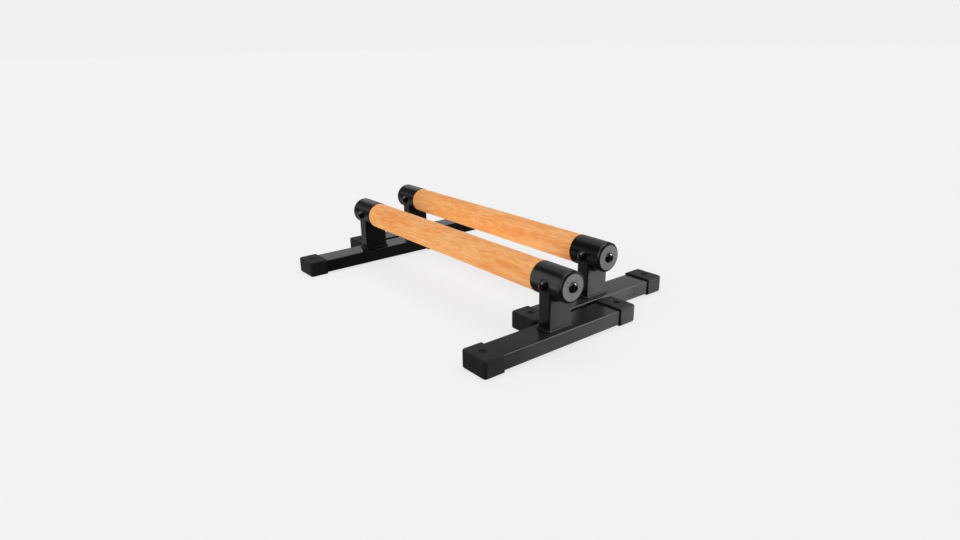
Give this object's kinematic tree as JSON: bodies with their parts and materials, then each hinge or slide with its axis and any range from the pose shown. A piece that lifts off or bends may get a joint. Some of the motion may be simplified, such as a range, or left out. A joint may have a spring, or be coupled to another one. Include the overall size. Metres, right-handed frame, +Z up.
{
  "type": "parallette bars",
  "caption": "Low parallette bars: turned wooden grips in black steel sleeves, on welded posts and floor beams with slip-on rubber feet.",
  "frame": {"origin": "on the floor, midway between the two bars and between their far ends", "axes": "+X along the grips towards the front, +Y along the feet towards the left bar, +Z up"},
  "size_m": [0.5552, 0.375, 0.102],
  "materials": {
    "grip_wood": "sanded and oiled, grain along the bar",
    "coated_steel": "satin black powder coat",
    "end_cap": "fine-textured black powder coat",
    "black_fasteners": "glossy black",
    "foot_rubber": "matte moulded"
  },
  "bodies": {
    "right_bar": {"right_cross_pins": "black_fasteners", "right_end_bolts": "black_fasteners", "right_front_base_weld": "coated_steel", "right_front_end_cap": "end_cap", "right_front_foot_beam": "coated_steel", "right_front_inner_rubber_foot": "foot_rubber", "right_front_outer_rubber_foot": "foot_rubber", "right_front_post": "coated_steel", "right_front_sleeve": "coated_steel", "right_front_sleeve_weld": "coated_steel", "right_grip": "grip_wood", "right_rear_base_weld": "coated_steel", "right_rear_end_cap": "end_cap", "right_rear_foot_beam": "coated_steel", "right_rear_inner_rubber_foot": "foot_rubber", "right_rear_outer_rubber_foot": "foot_rubber", "right_rear_post": "coated_steel", "right_rear_sleeve": "coated_steel", "right_rear_sleeve_weld": "coated_steel"},
    "left_bar": {"left_cross_pins": "black_fasteners", "left_end_bolts": "black_fasteners", "left_front_base_weld": "coated_steel", "left_front_end_cap": "end_cap", "left_front_foot_beam": "coated_steel", "left_front_inner_rubber_foot": "foot_rubber", "left_front_outer_rubber_foot": "foot_rubber", "left_front_post": "coated_steel", "left_front_sleeve": "coated_steel", "left_front_sleeve_weld": "coated_steel", "left_grip": "grip_wood", "left_rear_base_weld": "coated_steel", "left_rear_end_cap": "end_cap", "left_rear_foot_beam": "coated_steel", "left_rear_inner_rubber_foot": "foot_rubber", "left_rear_outer_rubber_foot": "foot_rubber", "left_rear_post": "coated_steel", "left_rear_sleeve": "coated_steel", "left_rear_sleeve_weld": "coated_steel"}
  },
  "joints": [
    {"name": "bar_spacing", "type": "slide", "parent": "right_bar", "child": "left_bar", "axis": [0, 1, 0], "range_m": [0, 0.4]}
  ]
}
